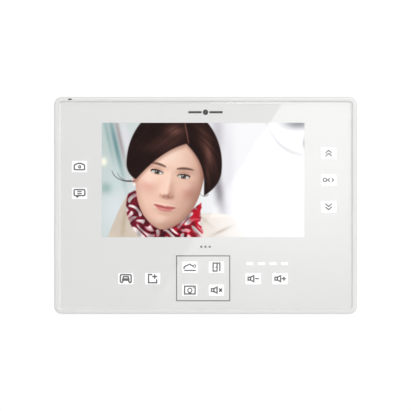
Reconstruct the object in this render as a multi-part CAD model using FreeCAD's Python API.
import FreeCAD, Part
import math
import os

from FreeCAD import Vector

# Wall-mounted, hands-free video intercom monitor with a 7 inch display and flush touch keys.
# A steel plate screws to the wall, and the monitor hangs on its four hooks.
#
# Millimetres. +X is to the right seen from the front, +Y points into the wall and +Z is up.
# The origin lies in the back face of the wall plate, on the monitor's vertical and horizontal centre lines.

# ---------------------------------------------------------------- driving dimensions

WIDTH, HEIGHT = 230.0, 165.0
HALF_W, HALF_H = WIDTH / 2, HEIGHT / 2
CORNER_R = 6.0
LIP = 3.5  # width of the frame's visible border
GAP = 0.2  # assembly clearance round a part that drops into a pocket
GLASS_GAP = 0.12  # closer clearance between the glass and the border
FILM_INSET = 0.1  # the film stops this far inside the edge of the glass

# Depth stations along Y, from the frame's front lip back to the wall.
Y_LIP = -24.0
Y_GLASS = -23.4
Y_FILM = -21.4
Y_FILM_BACK = -21.2
Y_LEDGE = -20.8
Y_LEDGE_BACK = -18.8
Y_TOUCH = -18.2
Y_TOUCH_BACK = -17.2
Y_MID = -14.6
Y_MID_BACK = -13.1
Y_FRAME_BACK = -13.0
Y_SHOULDER = -12.7
Y_BOARD = -11.6
Y_BOARD_BACK = -10.0
Y_FLOOR = -5.4  # inner face of the housing behind the wall plate
Y_POCKET = -3.4  # outer face of the housing behind the wall plate
Y_INNER_RIM = -2.7
Y_RIM = -0.7
Y_PLATE = -1.2

# Display: a 7 inch panel with a 16:9 picture, set left of the centre line and high.
PICTURE_W, PICTURE_H = 154.0, 87.0
DISPLAY_X, DISPLAY_Z = -1.8, 19.4
MODULE_X = (DISPLAY_X - 82.9, DISPLAY_X + 82.9)
MODULE_Z = (DISPLAY_Z - 55.5, DISPLAY_Z + 49.0)
Y_MODULE, Y_MODULE_BACK = -20.4, -14.7

# Touch keys, as (x, z) of each key's centre.
KEY_W, KEY_H = 11.4, 8.4
KEY_PITCH = 20.4
BOTTOM_ROW_Z = -55.6
BOX_STEP_X, BOX_STEP_Z = 10.1, 8.7
LEFT_KEYS = [(-95.8, DISPLAY_Z + s * KEY_PITCH / 2) for s in (1, -1)]
RIGHT_KEYS = [(93.6, DISPLAY_Z + s * KEY_PITCH) for s in (1, 0, -1)]
BOX_KEYS = [(DISPLAY_X + sx * BOX_STEP_X, BOTTOM_ROW_Z + sz * BOX_STEP_Z) for sz in (1, -1) for sx in (-1, 1)]
PAIR_KEYS = [(centre + s * KEY_PITCH / 2, BOTTOM_ROW_Z) for centre in (-50.4, 46.4) for s in (-1, 1)]
KEYS = LEFT_KEYS + RIGHT_KEYS + BOX_KEYS + PAIR_KEYS

# Level bars above the two volume keys.
LEVEL_W, LEVEL_H = 5.0, 1.8
LEVEL_PITCH = 8.8
LEVEL_BARS = [(46.9 + (i - 1.5) * LEVEL_PITCH, -44.2) for i in range(4)]

TOUCH_LEFT = (-104.0, -87.4, -5.0, 44.0)  # x0, x1, z0, z1 of each touch board
TOUCH_RIGHT = (85.2, 102.0, -9.0, 48.0)
TOUCH_BOTTOM = (-73.0, 70.0, -72.0, -39.2)
TOUCH_STAKES = (
    [(-95.8, 41.0), (-95.8, -2.0), (93.6, 9.2), (93.6, 29.6)]
    + [(x, z) for x in (-70.6, -26.0, 22.4, 67.6) for z in (-41.8, -69.4)]
)

# Main board and what stands on it.
BOARD = (-74.0, 60.0, -58.0, 60.0)
BOARD_HOLES = [(x, z) for x in (-70.0, 56.0) for z in (-54.0, 56.0)]
SERVICE_Z = -20.0  # height of the terminals, the option switch and the program button

# Case screws and the posts inside the front frame.
CASE_SCREWS = [(x, z) for x in (-108.0, 0.0, 108.0) for z in (-75.5, 75.5)]
MID_SCREWS = [(x, z) for x in (-55.0, 55.0) for z in (-75.6, 75.6)] + [(-107.9, 0.0), (107.9, 0.0)]
BOSS_R = 2.8
Y_BOSS = -8.0

# Wall plate and its hooks.
PLATE = (-72.0, 72.0, -50.0, 54.0)
PLATE_SCREWS = [(x, z) for x in (-64.0, 64.0) for z in (-42.0, 46.0)]
BOX_SCREWS = [(-30.0, SERVICE_Z), (30.0, SERVICE_Z)]
CABLE_WINDOW = (-24.0, 24.0, -38.0, -3.0)
HOOKS = [(x, z) for x in (-52.0, 52.0) for z in (-30.0, 30.0)]
HOOK_W = 10.0
HOOK_T = 1.2
TONGUE_RISE = 6.0
LIFT = 8.0  # travel that frees the monitor from its hooks
POCKET = (-76.0, 76.0, -64.0, 58.0)

# Terminals: rising cages worked by fixed screws.
POLES = 4
POLE_PITCH = 5.0
POLE_X = [(i - (POLES - 1) / 2) * POLE_PITCH for i in range(POLES)]
TERMINAL_Z = (SERVICE_Z - 4.0, SERVICE_Z + 4.0)
TERMINAL_SCREW_Z = SERVICE_Z - 0.3
CAGE_TRAVEL = 1.2

# Option switch and program button.
SWITCH_X = -19.0
LEVERS = 4
LEVER_PITCH = 2.54
LEVER_Z = [SERVICE_Z + ((LEVERS - 1) / 2 - i) * LEVER_PITCH for i in range(LEVERS)]
LEVER_TRAVEL = 2.0
BUTTON_X = 18.0

# Speaker and microphone.
SPEAKER_X, SPEAKER_Z, SPEAKER_R = 88.0, -50.0, 20.0
SOUND_POCKET = (71.0, 103.6, -90.0, -31.0)
MIC_X = -103.0
MIC_Y = -16.9
MIC_SLOT_W, MIC_SLOT_H = 3.1, 1.0
MIC_SLOT_Z = HALF_H - 1.8


# ---------------------------------------------------------------- shapes

def box(x0, x1, y0, y1, z0, z1):
    return Part.makeBox(x1 - x0, y1 - y0, z1 - z0, Vector(x0, y0, z0))


def rounded_wire(x0, x1, z0, z1, r, y):
    """Rectangle with round corners in the plane at y."""
    k = r * (1 - math.sqrt(0.5))

    def at(x, z):
        return Vector(x, y, z)

    lines = [
        (at(x0 + r, z0), at(x1 - r, z0)),
        (at(x1, z0 + r), at(x1, z1 - r)),
        (at(x1 - r, z1), at(x0 + r, z1)),
        (at(x0, z1 - r), at(x0, z0 + r)),
    ]
    corners = [at(x1 - k, z0 + k), at(x1 - k, z1 - k), at(x0 + k, z1 - k), at(x0 + k, z0 + k)]
    edges = []
    for i, (line, corner) in enumerate(zip(lines, corners)):
        edges.append(Part.LineSegment(*line).toShape())
        edges.append(Part.Arc(line[1], corner, lines[(i + 1) % 4][0]).toShape())
    return Part.Wire(edges)


def rounded_box(x0, x1, z0, z1, r, y0, y1):
    return Part.Face(rounded_wire(x0, x1, z0, z1, r, y0)).extrude(Vector(0, y1 - y0, 0))


def slab(half_w, half_h, r, y0, y1):
    """Rounded plate centred on the origin."""
    return rounded_box(-half_w, half_w, -half_h, half_h, r, y0, y1)


def tapered_slab(small, large, r, y0, y1):
    """Plate whose half sizes go from small at y0 to large at y1."""
    wires = [
        rounded_wire(-w, w, -h, h, r, y)
        for (w, h), y in ((small, y0), (large, y1))
    ]
    return Part.makeLoft(wires, True, True)


def rod(x, z, r, y0, y1):
    return Part.makeCylinder(r, y1 - y0, Vector(x, y0, z), Vector(0, 1, 0))


def tube_y(x, z, outer, inner, y0, y1):
    return rod(x, z, outer, y0, y1).cut(rod(x, z, inner, y0 - 1, y1 + 1))


def slot_y(x, z, length, r, y0, y1):
    """Round-ended slot along X, through Y."""
    half = length / 2 - r
    bar = box(x - half, x + half, y0, y1, z - r, z + r)
    return joined([bar, rod(x - half, z, r, y0, y1), rod(x + half, z, r, y0, y1)])


def joined(shapes):
    whole = shapes[0]
    for shape in shapes[1:]:
        whole = whole.fuse(shape)
    return whole.removeSplitter()


def without(shape, cutters):
    for cutter in cutters:
        shape = shape.cut(cutter)
    return shape


def turned(profile, x, z):
    """Solid of revolution about the Y axis line through (x, z), from (radius, y) points."""
    points = [Vector(x + r, y, z) for r, y in profile]
    face = Part.Face(Part.makePolygon(points + points[:1]))
    return face.revolve(Vector(x, 0, z), Vector(0, 1, 0), 360)


def bent_strip(points, place, along, thickness=0.2, bend=0.9):
    """Flat cable: a strip that follows 2-D points with round bends.

    place turns a 2-D point into a 3-D one, and along is the extrusion across the strip's width."""
    def unit(a, b):
        length = math.hypot(b[0] - a[0], b[1] - a[1])
        return ((b[0] - a[0]) / length, (b[1] - a[1]) / length)

    def beside(p, d, offset):
        return (p[0] - d[1] * offset, p[1] + d[0] * offset)

    edges, starts, ends = [], [], []
    for offset in (thickness / 2, -thickness / 2):
        here = beside(points[0], unit(points[0], points[1]), offset)
        starts.append(here)
        for before, corner, after in zip(points, points[1:], points[2:]):
            d0, d1 = unit(before, corner), unit(corner, after)
            turn = d0[0] * d1[1] - d0[1] * d1[0]
            side = math.copysign(1, turn)
            reach = bend * math.tan(math.asin(abs(turn)) / 2)
            t0 = (corner[0] - d0[0] * reach, corner[1] - d0[1] * reach)
            t1 = (corner[0] + d1[0] * reach, corner[1] + d1[1] * reach)
            centre = beside(t0, d0, side * bend)
            out = unit(centre, corner)
            radius = bend - side * offset
            first, last = beside(t0, d0, offset), beside(t1, d1, offset)
            middle = (centre[0] + out[0] * radius, centre[1] + out[1] * radius)
            edges.append(Part.LineSegment(place(*here), place(*first)).toShape())
            edges.append(Part.Arc(place(*first), place(*middle), place(*last)).toShape())
            here = last
        end = beside(points[-1], unit(points[-2], points[-1]), offset)
        edges.append(Part.LineSegment(place(*here), place(*end)).toShape())
        ends.append(end)
    edges.append(Part.LineSegment(place(*starts[0]), place(*starts[1])).toShape())
    edges.append(Part.LineSegment(place(*ends[0]), place(*ends[1])).toShape())
    return Part.Face(Part.Wire(Part.__sortEdges__(edges))).extrude(along)


def lead(points, r):
    """Round wire along straight runs joined by tangent arcs."""
    points = [Vector(*p) for p in points]
    edges, here = [], points[0]
    for before, corner, after in zip(points, points[1:], points[2:]):
        into, away = (corner - before), (after - corner)
        half_turn = into.getAngle(away) / 2
        radius = 0.45 * min(into.Length, away.Length) / math.tan(half_turn)
        reach = radius * math.tan(half_turn)
        into.normalize()
        away.normalize()
        first, last = corner - into * reach, corner + away * reach
        inward = (away - into).normalize()
        middle = corner + inward * (radius / math.cos(half_turn) - radius)
        edges.append(Part.LineSegment(here, first).toShape())
        edges.append(Part.Arc(first, middle, last).toShape())
        here = last
    edges.append(Part.LineSegment(here, points[-1]).toShape())
    path = Part.Wire(edges)
    circle = Part.Wire(Part.makeCircle(r, points[0], points[1] - points[0]))
    solid = path.makePipeShell([circle], True, True)
    ratio = solid.Volume / (math.pi * r * r * path.Length)
    print(f"  lead of {path.Length:.1f} mm, volume over section times length {ratio:.3f}")
    return solid


def edges_at(shape, y):
    return [e for e in shape.Edges if all(abs(v.Point.y - y) < 1e-6 for v in e.Vertexes)]


def save(node, shapes):
    """Writes one node: a single solid, or a group of separate ones."""
    solids = [s for shape in (shapes if isinstance(shapes, list) else [shapes]) for s in shape.Solids]
    bad = [s for s in solids if not s.isValid() or s.Volume <= 0]
    whole = solids[0] if len(solids) == 1 else Part.Compound(solids)
    whole.exportStep(os.path.join("parts", node + ".step"))
    print(f"{node}: {len(solids)} solid(s), {sum(s.Volume for s in solids):.1f} mm3{' BAD' if bad else ''}")


# ---------------------------------------------------------------- wall plate

def wall_plate():
    """Sheet-steel plate with four hooks folded out of it, a cable window and screw holes."""
    plate = rounded_box(*PLATE, 6.0, Y_PLATE, 0.0)
    cutters = [rounded_box(*CABLE_WINDOW, 3.0, Y_PLATE - 1, 1.0)]
    cutters += [rod(x, z, 2.25, Y_PLATE - 1, 1.0) for x, z in PLATE_SCREWS]
    cutters += [slot_y(x, z, 8.0, 2.1, Y_PLATE - 1, 1.0) for x, z in BOX_SCREWS]
    blank_w, blank_h = HOOK_W + 1.0, 13.0
    for x, z in HOOKS:  # the window that each hook was folded out of
        sides = (x - blank_w / 2, x + blank_w / 2)
        cutters.append(rounded_box(*sides, z, z + blank_h, 1.0, Y_PLATE - 1, 1.0))
    plate = without(plate, cutters)
    y_tip = Y_FLOOR - 0.4 - HOOK_T
    hooks = []
    for x, z in HOOKS:
        sides = (x - HOOK_W / 2, x + HOOK_W / 2)
        arm = box(*sides, y_tip, Y_PLATE / 2, z - HOOK_T, z)
        tongue = box(*sides, y_tip, y_tip + HOOK_T, z - HOOK_T, z + TONGUE_RISE)
        tips = [
            e for e in tongue.Edges
            if all(abs(v.Point.z - z - TONGUE_RISE) < 1e-6 for v in e.Vertexes)
            and abs(e.Vertexes[0].Point.x - e.Vertexes[1].Point.x) < 1e-6
        ]
        hooks += [arm, tongue.makeFillet(HOOK_W / 4, tips)]
    ribs = [
        rounded_box(x - 3.0, x + 3.0, -14.0, 16.0, 2.9, Y_PLATE - 0.6, Y_PLATE + 0.1)
        for x in (PLATE_SCREWS[0][0], PLATE_SCREWS[-1][0])
    ]
    return joined([plate] + hooks + ribs)


# ---------------------------------------------------------------- front

def front_frame():
    """White frame round the glass, with the ledge the glass is taped to and the screw posts."""
    body = slab(HALF_W, HALF_H, CORNER_R, Y_LIP, Y_FRAME_BACK)
    body = body.makeFillet(1.8, edges_at(body, Y_LIP))
    w, h = HALF_W - LIP, HALF_H - LIP
    wall = 2.4
    body = without(body, [
        slab(w, h, 2.6, Y_LIP - 1, Y_LEDGE),
        tapered_slab((w + 0.7, h + 0.7), (w, h), 2.6, Y_LIP - 0.01, Y_LIP + 0.6),
        slab(104.6, 72.6, 3.0, Y_LEDGE - 1, Y_LEDGE_BACK + 1),
        slab(HALF_W - wall, HALF_H - wall, 2.6, Y_LEDGE_BACK, Y_FRAME_BACK + 1),
    ])
    posts = [rod(x, z, BOSS_R, Y_LEDGE_BACK - 0.5, Y_BOSS) for x, z in CASE_SCREWS]
    posts += [rod(x, z, 2.5, Y_LEDGE_BACK - 0.5, Y_MID) for x, z in MID_SCREWS]
    body = joined([body] + posts)
    cutters = [rod(x, z, 1.1, -17.5, Y_BOSS + 1) for x, z in CASE_SCREWS]
    cutters += [rod(x, z, 0.8, -18.4, Y_MID + 1) for x, z in MID_SCREWS]
    # Microphone port: a slot through the lip, turning down to the capsule behind it.
    cutters.append(slot_y(MIC_X, MIC_SLOT_Z, MIC_SLOT_W, MIC_SLOT_H / 2, Y_LIP - 1, MIC_Y + 0.7))
    cutters.append(box(MIC_X - 1.2, MIC_X + 1.2, MIC_Y - 0.7, MIC_Y + 0.7, HALF_H - wall - 0.5, MIC_SLOT_Z))
    # Drain and vent slots along the lower edge.
    cutters += [box(x - 4.0, x + 4.0, -15.6, -14.4, -HALF_H - 1, -HALF_H + wall + 0.5) for x in (-30.0, 30.0)]
    return without(body, cutters)


def cover_glass():
    """Glass with a polished bevel all round its front edge."""
    w, h = HALF_W - LIP - GLASS_GAP, HALF_H - LIP - GLASS_GAP
    bevel_w, bevel_d = 1.5, 0.5
    front = tapered_slab((w - bevel_w, h - bevel_w), (w, h), 2.4, Y_GLASS, Y_GLASS + bevel_d)
    return joined([front, slab(w, h, 2.4, Y_GLASS + bevel_d, Y_FILM)])


def key_windows(y0, y1, shrink=0.0):
    """Prisms of every lit window: the keys and the level bars."""
    sizes = [(x, z, KEY_W, KEY_H) for x, z in KEYS] + [(x, z, LEVEL_W, LEVEL_H) for x, z in LEVEL_BARS]
    return [
        rounded_box(
            x - w / 2 + shrink, x + w / 2 - shrink, z - h / 2 + shrink, z + h / 2 - shrink, 0.5, y0, y1
        )
        for x, z, w, h in sizes
    ]


def printed_film():
    """White printed film on the back of the glass, clear over the picture and the lit windows."""
    inset = LIP + GLASS_GAP + FILM_INSET
    film = slab(HALF_W - inset, HALF_H - inset, 2.3, Y_FILM, Y_FILM_BACK)
    picture = rounded_box(
        DISPLAY_X - PICTURE_W / 2, DISPLAY_X + PICTURE_W / 2,
        DISPLAY_Z - PICTURE_H / 2, DISPLAY_Z + PICTURE_H / 2, 0.3, Y_FILM - 1, Y_FILM_BACK + 1,
    )
    return without(film, [picture] + key_windows(Y_FILM - 1, Y_FILM_BACK + 1))


def glass_tape():
    ring = slab(HALF_W - LIP - 0.8, HALF_H - LIP - 0.8, 2.0, Y_FILM_BACK, Y_LEDGE)
    return ring.cut(slab(105.4, 73.4, 3.0, Y_FILM_BACK - 1, Y_LEDGE + 1))


# ---------------------------------------------------------------- display module

def module_box(inset, y0, y1):
    return box(MODULE_X[0] + inset, MODULE_X[1] - inset, y0, y1, MODULE_Z[0] + inset, MODULE_Z[1] - inset)


def around_picture(margin, y0, y1):
    return box(
        DISPLAY_X - PICTURE_W / 2 - margin, DISPLAY_X + PICTURE_W / 2 + margin, y0, y1,
        DISPLAY_Z - PICTURE_H / 2 - margin, DISPLAY_Z + PICTURE_H / 2 + margin,
    )


FLEX_X = (-18.0, 14.0)
FLEX_Z = MODULE_Z[0] - 1.7
CABLE_Y = -8.9  # level of the flat cables where they enter the connectors on the main board


def flex_door():
    """Opening in the module's lower walls that the flat cable leaves by."""
    return box(FLEX_X[0] - 1, FLEX_X[1] + 1, Y_MODULE + 0.3, -18.6, MODULE_Z[0] - 1, MODULE_Z[0] + 0.8)


def lcd_bezel():
    shell = module_box(0.0, Y_MODULE, -15.6).cut(module_box(0.3, Y_MODULE + 0.3, -15.0))
    return without(shell, [around_picture(0.6, Y_MODULE - 1, Y_MODULE + 1), flex_door()])


def lcd_tray():
    floor = module_box(0.0, Y_MODULE_BACK - 0.3, Y_MODULE_BACK)
    walls = module_box(0.35, -18.9, Y_MODULE_BACK - 0.1).cut(module_box(0.65, -19.5, Y_MODULE_BACK + 1))
    return joined([floor, walls]).cut(flex_door())


def light_guide_notch(slack):
    x0, x1 = DISPLAY_X - 70.0 - slack, DISPLAY_X + 70.0 + slack
    return box(x0, x1, -18.4 - slack, -16.0 + slack, MODULE_Z[0] + 0.8 - slack * 2, MODULE_Z[0] + 2.8 + slack)


def display_module():
    save("lcd_polarizer", around_picture(0.0, Y_MODULE + 0.1, Y_MODULE + 0.3))
    save("lcd_cell", module_box(0.5, Y_MODULE + 0.3, -19.0))
    save("lcd_light_guide", module_box(0.8, -18.95, -15.05).cut(light_guide_notch(0.1)))
    save("backlight_led_bar", light_guide_notch(0.0))
    save("lcd_bezel", lcd_bezel())
    save("lcd_tray", lcd_tray())
    gasket = around_picture(4.0, Y_FILM_BACK, Y_MODULE)
    save("display_gasket", gasket.cut(around_picture(1.0, Y_FILM_BACK - 1, Y_MODULE + 1)))
    route = [(-19.4, MODULE_Z[0] + 0.6), (-19.4, FLEX_Z), (CABLE_Y, FLEX_Z), (CABLE_Y, -47.0)]
    flex = bent_strip(route, lambda y, z: Vector(FLEX_X[0], y, z), Vector(FLEX_X[1] - FLEX_X[0], 0, 0))
    save("lcd_flex", flex.cut(module_box(0.5, Y_MODULE, -19.0)))


# ---------------------------------------------------------------- touch keys

def electrode_ring(x, z):
    outer = box(x - 8.0, x + 8.0, Y_FILM_BACK, Y_TOUCH, z - 7.0, z + 7.0)
    return outer.cut(box(x - 6.6, x + 6.6, Y_FILM_BACK - 1, Y_TOUCH + 1, z - 5.1, z + 5.1))


def light_lenses():
    """Opal blocks that carry each lamp's light to its window, with a raised island in the film."""
    islands = key_windows(Y_FILM + 0.06, Y_FILM_BACK + 0.1, 0.1)
    blocks = [box(x - 6.5, x + 6.5, Y_FILM_BACK, Y_TOUCH, z - 5.0, z + 5.0) for x, z in KEYS]
    blocks += [box(x - 2.8, x + 2.8, Y_FILM_BACK, Y_TOUCH, z - 1.2, z + 1.2) for x, z in LEVEL_BARS]
    pockets = [box(x - 1.8, x + 1.8, Y_TOUCH - 1.4, Y_TOUCH + 1, z - 1.3, z + 1.3) for x, z in KEYS]
    pockets += [box(x - 1.0, x + 1.0, Y_TOUCH - 0.8, Y_TOUCH + 1, z - 0.6, z + 0.6) for x, z in LEVEL_BARS]
    return [joined([i, b]).cut(p) for i, b, p in zip(islands, blocks, pockets)]


def key_leds():
    lamps = [box(x - 1.5, x + 1.5, Y_TOUCH - 1.0, Y_TOUCH, z - 1.0, z + 1.0) for x, z in KEYS]
    return lamps + [box(x - 0.8, x + 0.8, Y_TOUCH - 0.6, Y_TOUCH, z - 0.4, z + 0.4) for x, z in LEVEL_BARS]


def touch_board(x0, x1, z0, z1):
    board = rounded_box(x0, x1, z0, z1, 1.5, Y_TOUCH, Y_TOUCH_BACK)
    return without(board, [rod(x, z, 0.8, Y_TOUCH - 1, Y_TOUCH_BACK + 1) for x, z in TOUCH_STAKES])


RIBBON_LEFT_Z = (10.0, 26.0)
RIBBON_RIGHT_Z = (3.0, 19.0)
RIBBON_LEFT_X, RIBBON_RIGHT_X = -86.4, 83.7  # where each ribbon passes behind the display
TOUCH_CABLE_Y = -16.4


def touch_ribbons():
    """Flat cables from the two side boards round the display to the main board."""
    strips = []
    for start_x, bend_x, end_x, (z0, z1) in (
        (-92.0, RIBBON_LEFT_X, -71.4, RIBBON_LEFT_Z),
        (88.8, RIBBON_RIGHT_X, 57.4, RIBBON_RIGHT_Z),
    ):
        route = [(start_x, TOUCH_CABLE_Y), (bend_x, TOUCH_CABLE_Y), (bend_x, CABLE_Y), (end_x, CABLE_Y)]
        strips.append(bent_strip(route, lambda x, y, z=z0: Vector(x, y, z), Vector(0, 0, z1 - z0)))
    return strips


def touch_parts():
    save("light_lenses", light_lenses())
    save("touch_electrodes", [electrode_ring(x, z) for x, z in KEYS])
    save("key_leds", key_leds())
    save("touch_board_left", touch_board(*TOUCH_LEFT))
    save("touch_board_right", touch_board(*TOUCH_RIGHT))
    save("touch_board_bottom", touch_board(*TOUCH_BOTTOM))
    save("touch_ribbons", touch_ribbons())


# ---------------------------------------------------------------- middle frame

HEADER = (-34.0, -18.0, -56.0, -52.0)


def mid_frame():
    """Plastic plate that holds the display from behind and carries the boards on both sides."""
    plate = slab(110.8, 78.3, 3.0, Y_MID, Y_MID_BACK)
    adds = []
    for x, z in TOUCH_STAKES:  # seat, pin through the board, and the head it is melted to
        adds += [rod(x, z, 1.6, Y_TOUCH_BACK, Y_MID + 0.5), rod(x, z, 0.7, Y_TOUCH, Y_MID + 0.5)]
        adds.append(rod(x, z, 1.3, Y_TOUCH - 0.4, Y_TOUCH))
    adds += [rod(x, z, 3.5, Y_MID_BACK - 0.5, Y_BOARD) for x, z in BOARD_HOLES]
    for sx, x in ((-1, MODULE_X[0] - GAP), (1, MODULE_X[1] + GAP)):  # corner ribs that locate the display
        for sz, z in ((-1, MODULE_Z[0] - GAP), (1, MODULE_Z[1] + GAP)):
            xs = sorted((x, x + sx * 1.2))
            xl = sorted((x + sx * 1.2, x - sx * 9.0))
            zs = sorted((z, z + sz * 1.2))
            zl = sorted((z + sz * 1.2, z - sz * 9.0))
            adds += [box(*xs, -18.6, Y_MID + 0.5, *zl), box(*xl, -18.6, Y_MID + 0.5, *zs)]
    plate = joined([plate] + adds)
    deep = (Y_MID - 1, Y_MID_BACK + 1)
    cutters = [rod(x, z, BOSS_R + 0.4, *deep) for x, z in CASE_SCREWS]
    cutters += [rod(x, z, 1.0, *deep) for x, z in MID_SCREWS]
    cutters += [rod(x, z, 0.9, Y_MID + 0.4, Y_BOARD + 1) for x, z in BOARD_HOLES]
    cutters.append(box(FLEX_X[0] - 2, FLEX_X[1] + 2, *deep, FLEX_Z - 1.4, FLEX_Z + 1.4))
    for x, span in ((RIBBON_LEFT_X, RIBBON_LEFT_Z), (RIBBON_RIGHT_X, RIBBON_RIGHT_Z)):
        cutters.append(box(x - 1.2, x + 1.2, *deep, span[0] - 1.5, span[1] + 1.5))
    cutters.append(box(HEADER[0] - 1.5, HEADER[1] + 1.5, *deep, HEADER[2] - 1.5, HEADER[3] + 1.5))
    cutters.append(rod(MIC_LEAD_X, 64.5, 2.4, *deep))
    # Lightening windows behind the display, between the ribs that stay.
    window_w, window_h = 34.0, 36.0
    cutters += [
        rounded_box(x, x + window_w, z, z + window_h, 3.0, *deep)
        for x in (-74.0, 28.0) for z in (-32.0, 12.0)
    ]
    return without(plate, cutters)


# ---------------------------------------------------------------- main board

def main_board():
    board = rounded_box(*BOARD, 2.0, Y_BOARD, Y_BOARD_BACK)
    through = (Y_BOARD - 1, Y_BOARD_BACK + 1)
    cutters = [rod(x, z, 1.4, *through) for x, z in BOARD_HOLES]
    cutters.append(box(FLEX_X[0] - 2, FLEX_X[1] + 2, *through, FLEX_Z - 1.1, FLEX_Z + 1.1))
    return without(board, cutters)


def screw(x, z, head_r, head_y, neck_y, tip_y, shank_r, drive):
    """Pan-head screw whose head faces the wall: head from neck_y to head_y, shank down to tip_y."""
    solid = joined([rod(x, z, head_r, neck_y, head_y), rod(x, z, shank_r, tip_y, neck_y + 0.2)])
    arms = [
        box(x - drive, x + drive, head_y - 0.8, head_y + 1, z - drive / 4, z + drive / 4),
        box(x - drive / 4, x + drive / 4, head_y - 0.8, head_y + 1, z - drive, z + drive),
    ]
    return without(solid, arms)


def flat_connector(x0, x1, y0, y1, z0, z1, mouth):
    return box(x0, x1, y0, y1, z0, z1).cut(box(*mouth))


def board_connectors():
    """Flat-cable connectors on all boards, the header to the lower touch board and the wire sockets."""
    slot = 0.17
    y_top = Y_BOARD_BACK + 2.2
    parts = [
        flat_connector(-20.0, 16.0, Y_BOARD_BACK, y_top, -50.5, -45.5,
                       (FLEX_X[0] - 0.3, FLEX_X[1] + 0.3, CABLE_Y - slot, CABLE_Y + slot, -47.5, -45.0)),
    ]
    for x0, x1, mouth_x, span in (
        (-73.0, -69.0, (-74.0, -71.0), RIBBON_LEFT_Z),
        (55.0, 59.0, (57.0, 60.0), RIBBON_RIGHT_Z),
    ):
        mouth = (*mouth_x, CABLE_Y - slot, CABLE_Y + slot, span[0] - 0.3, span[1] + 0.3)
        parts.append(flat_connector(x0, x1, Y_BOARD_BACK, y_top, span[0] - 1, span[1] + 1, mouth))
    for x0, x1, mouth_x, span in (
        (-94.4, -90.4, (-92.4, -90.0), RIBBON_LEFT_Z),
        (87.2, 91.2, (86.8, 89.2), RIBBON_RIGHT_Z),
    ):
        mouth = (*mouth_x, TOUCH_CABLE_Y - slot, TOUCH_CABLE_Y + slot, span[0] - 0.3, span[1] + 0.3)
        parts.append(flat_connector(x0, x1, Y_TOUCH_BACK, -15.4, span[0] - 1, span[1] + 1, mouth))
    x0, x1, z0, z1 = HEADER
    pins = [(x0 + 1.0 + 2.0 * i, (z0 + z1) / 2) for i in range(8)]
    plug = box(x0, x1, Y_TOUCH_BACK, -15.0, z0, z1)
    plug = joined([plug] + [box(x - 0.25, x + 0.25, -15.2, -12.2, z - 0.25, z + 0.25) for x, z in pins])
    socket = box(x0 - 0.2, x1 + 0.2, -14.9, Y_BOARD, z0 - 0.2, z1 + 0.2)
    socket = without(socket, [box(x - 0.4, x + 0.4, -15.5, -12.0, z - 0.4, z + 0.4) for x, z in pins])
    return parts + [plug, socket] + wire_sockets()


MIC_SOCKET = (-73.0, -66.5, 46.0, 52.0)
SPEAKER_SOCKET = (52.5, 59.0, -18.0, -12.0)
LEAD_Y = -8.2
LEAD_R = 0.7
MIC_LEAD_X = -101.0


def wire_sockets():
    sockets = []
    for (x0, x1, z0, z1), mouth_x in ((MIC_SOCKET, (-74.0, -71.0)), (SPEAKER_SOCKET, (57.0, 60.0))):
        middle = (z0 + z1) / 2
        hole = box(*mouth_x, LEAD_Y - 0.9, LEAD_Y + 0.9, middle - 0.9, middle + 0.9)
        sockets.append(box(x0, x1, Y_BOARD_BACK, Y_BOARD_BACK + 3.6, z0, z1).cut(hole))
    return sockets


def chip(x, z, w, h, t, y=Y_BOARD_BACK):
    return box(x - w / 2, x + w / 2, y, y + t, z - h / 2, z + h / 2)


PROCESSOR = (-12.0, 22.0)
PROCESSOR_T = 1.4


def heat_sink():
    x, z = PROCESSOR
    side, fin_pitch = 18.0, 2.6
    base = chip(x, z, side, side, 0.9, Y_BOARD_BACK + PROCESSOR_T)
    fins = [
        chip(x + i * fin_pitch, z, 0.9, side, 2.4, Y_BOARD_BACK + PROCESSOR_T + 0.1) for i in range(-3, 4)
    ]
    return joined([base] + fins)


def shield_can():
    x, z, w, h, t = 30.0, 36.0, 28.0, 22.0, 2.4
    sheet = 0.3
    can = chip(x, z, w, h, t).cut(chip(x, z, w - 2 * sheet, h - 2 * sheet, t - sheet, Y_BOARD_BACK - 0.01))
    vents = [
        rod(x + i * 3.4, z + j * 5.0, 0.7, Y_BOARD_BACK + 1.5, Y_BOARD_BACK + 3.0)
        for i in range(-3, 4) for j in (-1, 0, 1)
    ]
    return without(can, vents)


def small_components():
    """Memory chips, regulators and the small parts round them."""
    parts = [chip(-36.0, 16.0, 11.0, 9.0, 1.0), chip(-36.0, 30.0, 11.0, 9.0, 1.0)]
    parts += [chip(4.0, -6.0, 6.0, 5.0, 1.5), chip(-40.0, -6.0, 6.5, 6.5, 1.4)]
    parts.append(chip(44.0, 8.0, 5.0, 6.0, 1.5))
    parts += [chip(-52.0 + 3.0 * i, 46.0, 1.2, 2.0, 0.8) for i in range(9)]
    parts += [chip(6.0, 12.0 + 3.0 * i, 2.0, 1.2, 0.8) for i in range(8)]
    parts += [chip(-34.0 + 3.0 * i, 3.0, 1.2, 2.0, 0.8) for i in range(8)]
    parts += [chip(30.0 + 3.0 * i, -42.0, 1.2, 2.0, 0.8) for i in range(6)]
    return parts


def capacitors():
    """Low electrolytic cans on square bases."""
    cans = []
    for x, z in ((-66.0, -13.0), (-57.0, -13.0), (-66.0, -3.0), (40.0, -4.0)):
        base = chip(x, z, 6.6, 6.6, 0.6)
        cans.append(joined([base, rod(x, z, 3.15, Y_BOARD_BACK + 0.5, -5.8)]))
    return cans


def line_transformer():
    """Audio transformer: core, and the flanges of its winding."""
    x, z = 36.0, -18.0
    return joined([chip(x, z, 13.0, 12.0, 4.0), chip(x, z, 9.0, 15.0, 2.6)])


def power_inductor():
    body = chip(-34.0, -43.0, 10.0, 10.0, 4.0)
    corners = [e for e in body.Edges if abs(e.Vertexes[0].Point.y - e.Vertexes[1].Point.y) > 1]
    return body.makeChamfer(1.2, corners)


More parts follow.
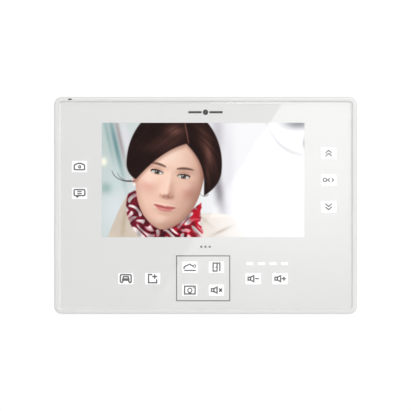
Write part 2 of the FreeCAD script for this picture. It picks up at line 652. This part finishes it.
def board_parts():
    save("main_board", main_board())
    heads = (2.2, Y_BOARD_BACK + 1.5, Y_BOARD_BACK)
    save("main_board_screws", [screw(x, z, *heads, -14.0, 0.85, 1.2) for x, z in BOARD_HOLES])
    save("board_connectors", board_connectors())
    save("processor", chip(*PROCESSOR, 15.0, 15.0, PROCESSOR_T))
    save("heat_sink", heat_sink())
    save("shield_can", shield_can())
    save("small_components", small_components())
    save("capacitors", capacitors())
    save("line_transformer", line_transformer())
    save("power_inductor", power_inductor())


# ---------------------------------------------------------------- terminals and switches

CAGE_Y = (-9.3, -5.9)  # the cage with its clamp open
CAGE_Z = (TERMINAL_Z[0] + 1.4, TERMINAL_Z[1] - 2.0)
CAGE_FLOOR = 0.6
BAR_T = 0.7
BAR_Y0 = CAGE_Y[0] + CAGE_FLOOR + CAGE_TRAVEL + 0.05  # the closed cage stops just short of the contact bar
BAR_Y = (BAR_Y0, BAR_Y0 + BAR_T)
TERMINAL_TOP = -2.0
SHOULDER_Y = -3.8  # the screw's head turns on this shoulder


def terminal_block():
    """Insulating body: one chamber, wire entry and screw well for each pole."""
    half = POLES * POLE_PITCH / 2 + 0.4
    body = box(-half, half, Y_BOARD_BACK, TERMINAL_TOP, *TERMINAL_Z)
    cutters = []
    for x in POLE_X:
        cutters.append(box(x - 1.9, x + 1.9, -9.4, -4.6, TERMINAL_Z[0] - 1, TERMINAL_Z[1] - 1.2))
        leg_z = (TERMINAL_Z[1] - 1.95, TERMINAL_Z[1] - 1.15)
        cutters.append(box(x - 1.25, x + 1.25, Y_BOARD_BACK - 1, -9.0, *leg_z))
        cutters.append(rod(x, TERMINAL_SCREW_Z, 1.3, -5.0, TERMINAL_TOP))
        cutters.append(rod(x, TERMINAL_SCREW_Z, 1.75, SHOULDER_Y, TERMINAL_TOP + 1))
    return without(body, cutters)


def contact_bar(x):
    bar = box(x - 1.2, x + 1.2, *BAR_Y, TERMINAL_Z[0] + 1.0, TERMINAL_Z[1] - 1.25)
    leg = box(x - 1.2, x + 1.2, Y_BOARD_BACK, BAR_Y[1], TERMINAL_Z[1] - 1.85, TERMINAL_Z[1] - 1.25)
    return joined([bar, leg])


def terminal_cage(x):
    outer = box(x - 1.8, x + 1.8, *CAGE_Y, *CAGE_Z)
    hollow = box(x - 1.3, x + 1.3, CAGE_Y[0] + CAGE_FLOOR, CAGE_Y[1] - 0.8, CAGE_Z[0] - 1, CAGE_Z[1] + 1)
    return without(outer, [hollow, rod(x, TERMINAL_SCREW_Z, 1.25, CAGE_Y[1] - 1, CAGE_Y[1] + 1)])


def terminal_screw(x):
    head = rod(x, TERMINAL_SCREW_Z, 1.65, SHOULDER_Y + 0.05, -2.4)
    shank = rod(x, TERMINAL_SCREW_Z, 1.2, BAR_Y[1] + 0.05, SHOULDER_Y + 0.3)
    drive = box(x - 1.8, x + 1.8, -3.1, -2.0, TERMINAL_SCREW_Z - 0.25, TERMINAL_SCREW_Z + 0.25)
    return joined([head, shank]).cut(drive)


def option_switch_body():
    """Slide-switch body with one track for each lever, narrower at its mouth to keep the lever in."""
    body = box(SWITCH_X - 3.2, SWITCH_X + 3.2, Y_BOARD_BACK, -6.6, SERVICE_Z - 6.2, SERVICE_Z + 6.2)
    tracks = []
    for z in LEVER_Z:
        tracks.append(box(SWITCH_X - 1.9, SWITCH_X + 1.9, -7.3, -6.0, z - 0.6, z + 0.6))
        tracks.append(box(SWITCH_X - 1.9, SWITCH_X + 1.9, -8.4, -7.2, z - 0.95, z + 0.95))
    return without(body, tracks)


def option_lever(z):
    x0 = SWITCH_X - 1.8
    x1 = x0 + 3.6 - LEVER_TRAVEL
    return joined([box(x0, x1, -7.5, -5.6, z - 0.5, z + 0.5), box(x0, x1, -8.3, -7.3, z - 0.85, z + 0.85)])


def program_switch_body():
    body = chip(BUTTON_X, SERVICE_Z, 6.2, 6.2, 3.2)
    hollow = rod(BUTTON_X, SERVICE_Z, 2.4, -8.9, -7.4)
    return without(body, [hollow, rod(BUTTON_X, SERVICE_Z, 1.75, -8.0, -6.0)])


def program_button():
    return joined([rod(BUTTON_X, SERVICE_Z, 2.25, -7.95, -7.45), rod(BUTTON_X, SERVICE_Z, 1.65, -7.95, -5.2)])


def service_parts():
    save("terminal_block", terminal_block())
    save("terminal_contacts", [contact_bar(x) for x in POLE_X])
    for i, x in enumerate(POLE_X, 1):
        save(f"terminal_screw_{i}", terminal_screw(x))
        save(f"terminal_cage_{i}", terminal_cage(x))
    save("option_switch_body", option_switch_body())
    for i, z in enumerate(LEVER_Z, 1):
        save(f"option_lever_{i}", option_lever(z))
    save("program_switch_body", program_switch_body())
    save("program_button", program_button())


# ---------------------------------------------------------------- sound

GASKET_Y = (-6.0, Y_FLOOR)


def speaker_basket():
    basket = turned([
        (20.0, -6.0), (17.4, -6.0), (17.4, -7.15), (16.6, -7.75), (11.4, -10.0), (5.4, -10.0),
        (5.4, -10.8), (12.2, -10.8), (18.0, -8.1), (20.0, -8.1),
    ], SPEAKER_X, SPEAKER_Z)
    # Air windows in the cone-shaped wall, and the tag that the lead is soldered to.
    windows = []
    for i in range(6):
        window = box(12.6, 16.2, -10.5, -7.4, -3.0, 3.0)
        window.rotate(Vector(0, 0, 0), Vector(0, 1, 0), 30 + 60 * i)
        window.translate(Vector(SPEAKER_X, 0, SPEAKER_Z))
        windows.append(window)
    tag = box(SPEAKER_X - 22.5, SPEAKER_X - 18.6, -8.1, -7.3, SPEAKER_Z - 3.5, SPEAKER_Z + 3.5)
    return joined([without(basket, windows), tag])


def speaker_motor():
    """Ring magnet, and the back plate with its centre pole."""
    magnet = tube_y(SPEAKER_X, SPEAKER_Z, 10.0, 5.6, -12.2, -10.8)
    yoke = joined([
        rod(SPEAKER_X, SPEAKER_Z, 10.0, -12.9, -12.2),
        rod(SPEAKER_X, SPEAKER_Z, 3.9, -12.3, -9.8),
    ])
    return [magnet, yoke]


def speaker_cone():
    """Paper cone, dust cap and voice-coil former."""
    return turned([
        (4.3, -10.9), (4.7, -10.9), (4.7, -8.5), (15.0, -6.95), (15.0, -6.65),
        (4.6, -8.15), (3.4, -7.6), (1.8, -7.25), (0.0, -7.15), (0.0, -7.45), (1.8, -7.55),
        (3.2, -7.85), (4.3, -8.5),
    ], SPEAKER_X, SPEAKER_Z)


def speaker_surround():
    """Thin half-round roll between the cone and the basket's rim."""
    return turned([
        (15.05, -6.9), (15.35, -6.3), (16.2, -5.75), (17.05, -6.3), (17.35, -6.9),
        (17.35, -7.1), (16.85, -6.55), (16.2, -6.1), (15.55, -6.55), (15.05, -7.1),
    ], SPEAKER_X, SPEAKER_Z)


def microphone_parts():
    """Capsule in a rubber boot, whose duct meets the port in the frame's upper wall."""
    z0, z1 = 71.0, 79.9
    seat_z = 75.6
    boot = box(MIC_X - 2.0, MIC_X + 5.0, MIC_Y - 1.8, MIC_Y + 1.8, z0, z1)

    def upright(x, r, z, height):
        return Part.makeCylinder(r, height, Vector(x, MIC_Y, z), Vector(0, 0, 1))

    cutters = [
        upright(MIC_X, 1.45, seat_z, 1.6),
        upright(MIC_X, 0.7, seat_z, z1 - seat_z + 1),
        upright(MIC_LEAD_X, LEAD_R + 0.05, z0 - 1, 3.0),
    ]
    save("microphone_boot", without(boot, cutters))
    save("microphone", upright(MIC_X, 1.4, seat_z + 0.05, 1.5))
    socket_z = sum(MIC_SOCKET[2:]) / 2
    turn_z, turn_x = 64.5, -80.0
    return lead([
        (MIC_LEAD_X, MIC_Y, z0 + 1.9), (MIC_LEAD_X, MIC_Y, turn_z), (MIC_LEAD_X, LEAD_Y, turn_z),
        (turn_x, LEAD_Y, turn_z), (turn_x, LEAD_Y, socket_z), (MIC_SOCKET[0] + 1.8, LEAD_Y, socket_z),
    ], LEAD_R)


def sound_parts():
    save("speaker_gasket", tube_y(SPEAKER_X, SPEAKER_Z, SPEAKER_R, 17.6, *GASKET_Y))
    save("speaker_basket", speaker_basket())
    save("speaker_motor", speaker_motor())
    save("speaker_cone", speaker_cone())
    save("speaker_surround", speaker_surround())
    tag_x, tag_y = SPEAKER_X - 22.5, -7.7
    run_x = 62.4
    socket_z = sum(SPEAKER_SOCKET[2:]) / 2
    speaker_lead = lead([
        (tag_x, tag_y, SPEAKER_Z), (run_x, tag_y, SPEAKER_Z), (run_x, LEAD_Y, SPEAKER_Z + 9.0),
        (run_x + 0.8, LEAD_Y, SPEAKER_Z + 23.0), (run_x - 0.2, LEAD_Y, socket_z),
        (SPEAKER_SOCKET[1] - 1.8, LEAD_Y, socket_z),
    ], LEAD_R)
    save("sound_leads", [microphone_parts(), speaker_lead])


# ---------------------------------------------------------------- rear housing

def speaker_seat():
    """Ring that the speaker's gasket lands on, and three snap hooks over its rim."""
    pieces = [tube_y(SPEAKER_X, SPEAKER_Z, SPEAKER_R + 0.3, 17.2, Y_FLOOR, Y_INNER_RIM + 0.5)]
    for turn in (30, 150, 270):
        hook = joined([
            box(SPEAKER_R + 0.2, SPEAKER_R + 1.6, -9.3, Y_INNER_RIM + 0.5, -2.5, 2.5),
            box(SPEAKER_R - 0.8, SPEAKER_R + 1.6, -9.3, -8.2, -2.5, 2.5),
        ])
        hook.rotate(Vector(0, 0, 0), Vector(0, 1, 0), turn)
        hook.translate(Vector(SPEAKER_X, 0, SPEAKER_Z))
        pieces.append(hook)
    return pieces


def cooling_slots(half_h):
    """Slots in the top and bottom walls, clear of the middle screws and of the speaker."""
    pitch, half_slot = 7.0, 0.9
    slots = []
    for i in range(-12, 13):
        x = i * pitch
        sides = (x - half_slot, x + half_slot, -11.5, -4.5)
        if i != 0:
            slots.append(box(*sides, half_h - 3.0, half_h + 1))
            if x < SOUND_POCKET[0] - 11.0:
                slots.append(box(*sides, -half_h - 1, -half_h + 3.0))
    return slots


def rear_housing():
    """Rear shell with the pocket for the wall plate, the sound channel, vents and service openings."""
    w, h = HALF_W - 2.0, HALF_H - 2.0
    outer = slab(w, h, 3.5, Y_SHOULDER, Y_RIM)
    outer = outer.makeFillet(3.0, edges_at(outer, Y_RIM))
    shell = outer.cut(slab(w - 2.0, h - 2.0, 2.0, Y_SHOULDER - 1, Y_INNER_RIM))
    tongue = slab(w - 0.6, h - 0.6, 2.6, Y_SHOULDER - 2.3, Y_SHOULDER + 0.5)
    tongue = tongue.cut(slab(w - 1.6, h - 1.6, 2.0, Y_SHOULDER - 3, Y_SHOULDER + 1))
    margin = 2.0
    x0, x1, z0, z1 = POCKET
    plate_floor = box(x0 - margin, x1 + margin, Y_FLOOR, Y_RIM, z0 - margin, z1 + margin)
    sx0, sx1, sz0, sz1 = SOUND_POCKET
    sound_floor = box(sx0 - margin, sx1 + margin, Y_FLOOR, Y_RIM, sz0, sz1 + margin).common(outer)
    posts = [rod(x, z, 3.7, Y_BOSS + 0.05, Y_INNER_RIM + 0.5).common(outer) for x, z in CASE_SCREWS]
    shell = joined([shell, tongue, plate_floor, sound_floor] + posts + speaker_seat())
    cutters = [
        rounded_box(*POCKET, 3.0, Y_POCKET, 1.0),
        rounded_box(*SOUND_POCKET, 3.0, Y_POCKET, 1.0),
    ]
    for x, z in CASE_SCREWS:
        cutters += [rod(x, z, 2.9, -4.6, 1.0), rod(x, z, 1.3, Y_BOSS - 1, 0.0)]
    through = (Y_FLOOR - 1, Y_POCKET + 1)
    slot_half, slot_drop = HOOK_W / 2 + 0.6, LIFT + 3.0
    for x, z in HOOKS:  # each slot hangs on its hook's arm by its upper edge
        cutters.append(box(x - slot_half, x + slot_half, *through, z - slot_drop, z + 0.05))
    cutters.append(rounded_box(-12.5, 12.5, SERVICE_Z - 17.5, SERVICE_Z + 4.5, 1.0, *through))
    switch_w, switch_h = 7.8, 13.8
    cutters.append(rounded_box(
        SWITCH_X - switch_w / 2, SWITCH_X + switch_w / 2,
        SERVICE_Z - switch_h / 2, SERVICE_Z + switch_h / 2, 1.0, *through,
    ))
    cutters.append(rod(BUTTON_X, SERVICE_Z, 2.6, *through))
    reach = 14.4
    for i in range(9):  # speaker slots, shortened to a round outline
        x = (i - 4) * 3.4
        half = math.sqrt(reach ** 2 - x ** 2)
        centre = SPEAKER_X + x
        cutters.append(box(centre - 0.8, centre + 0.8, *through, SPEAKER_Z - half, SPEAKER_Z + half))
    return without(shell, cutters + cooling_slots(h))


def rear_bumpers():
    pads = [(-95.0, 69.5), (95.0, 69.5), (-95.0, -69.5), (60.0, -73.0)]
    return [rod(x, z, 3.5, Y_RIM, -0.1) for x, z in pads]


# ---------------------------------------------------------------- build

def main():
    os.makedirs("parts", exist_ok=True)
    save("wall_plate", wall_plate())
    save("front_frame", front_frame())
    save("cover_glass", cover_glass())
    save("printed_film", printed_film())
    save("glass_tape", glass_tape())
    display_module()
    touch_parts()
    save("mid_frame", mid_frame())
    heads = (1.9, Y_MID_BACK + 1.3, Y_MID_BACK)
    save("mid_frame_screws", [screw(x, z, *heads, -17.8, 0.75, 1.0) for x, z in MID_SCREWS])
    board_parts()
    service_parts()
    sound_parts()
    save("rear_housing", rear_housing())
    save("housing_screws", [screw(x, z, 2.7, -2.7, -4.6, -15.0, 1.05, 1.5) for x, z in CASE_SCREWS])
    save("rear_bumpers", rear_bumpers())


main()
